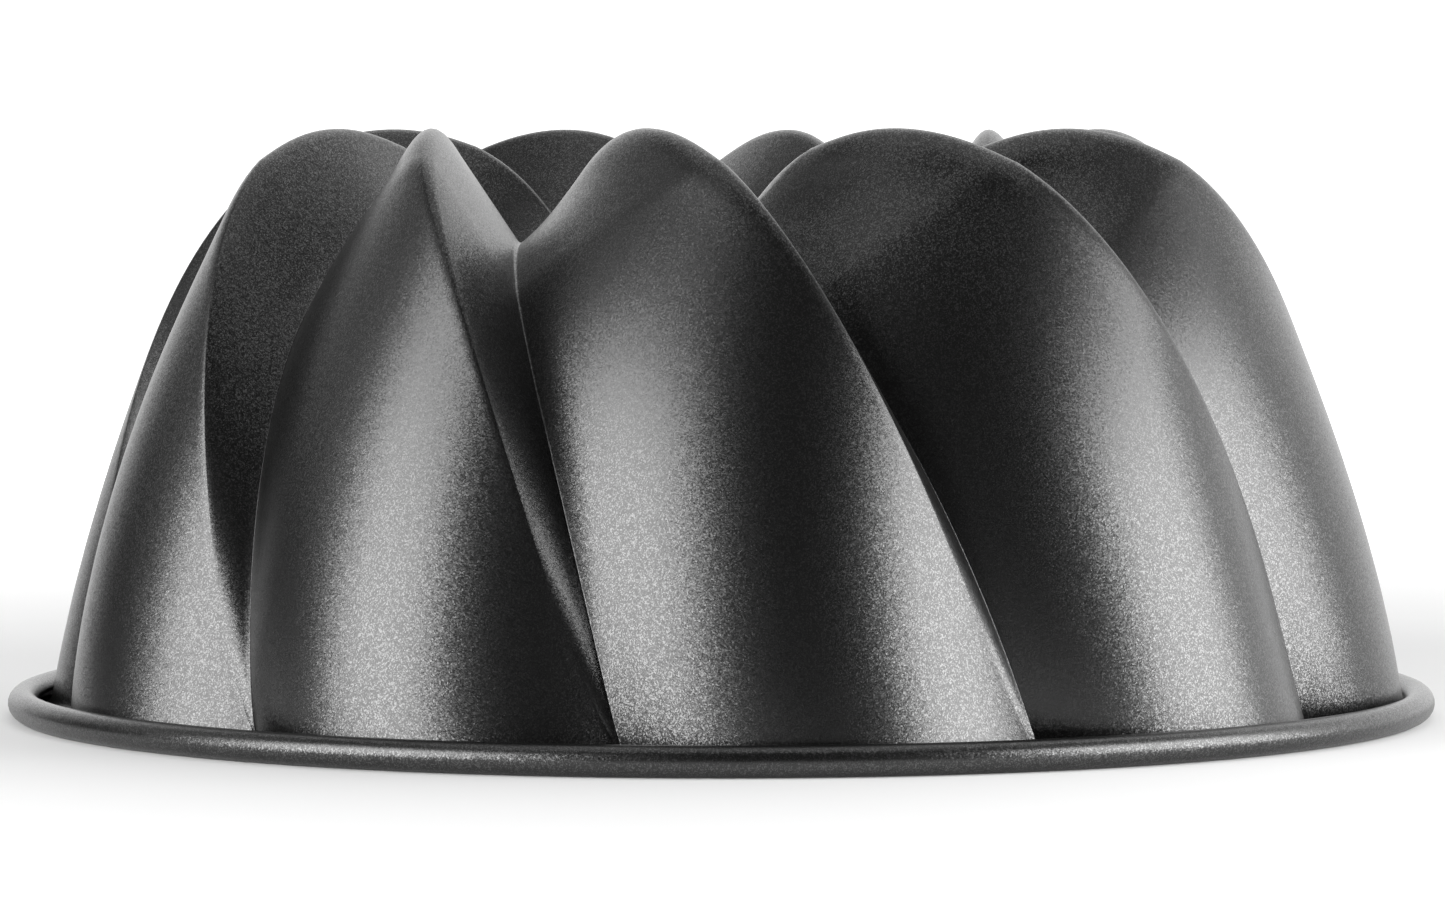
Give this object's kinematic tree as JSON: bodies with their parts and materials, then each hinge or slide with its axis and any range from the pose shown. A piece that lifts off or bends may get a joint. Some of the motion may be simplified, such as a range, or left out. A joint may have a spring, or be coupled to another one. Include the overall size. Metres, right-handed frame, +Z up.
{
  "type": "fluted tube pan",
  "caption": "Ring-shaped baking mould with deep lobes that swirl up the wall and over the crown, a tapered open centre tube and a rolled, wired rim.",
  "frame": {"origin": "middle of the rolled rim, on the plane that the pan rests on when it stands bottom up", "axes": "+Z up along the pan's axis towards the crown, -Y towards the picture's camera, +X to its right"},
  "size_m": [0.2598, 0.2598, 0.1065],
  "materials": {
    "coated_sheet": "satin dark grey non-stick coating with a fine metallic fleck",
    "coated_tube": "satin dark grey non-stick coating with a fine metallic fleck",
    "rim_wire": "plain drawn steel wire"
  },
  "bodies": {
    "root": {"fluted_shell": "coated_sheet", "centre_tube": "coated_tube", "rim_wire": "rim_wire"}
  },
  "joints": []
}
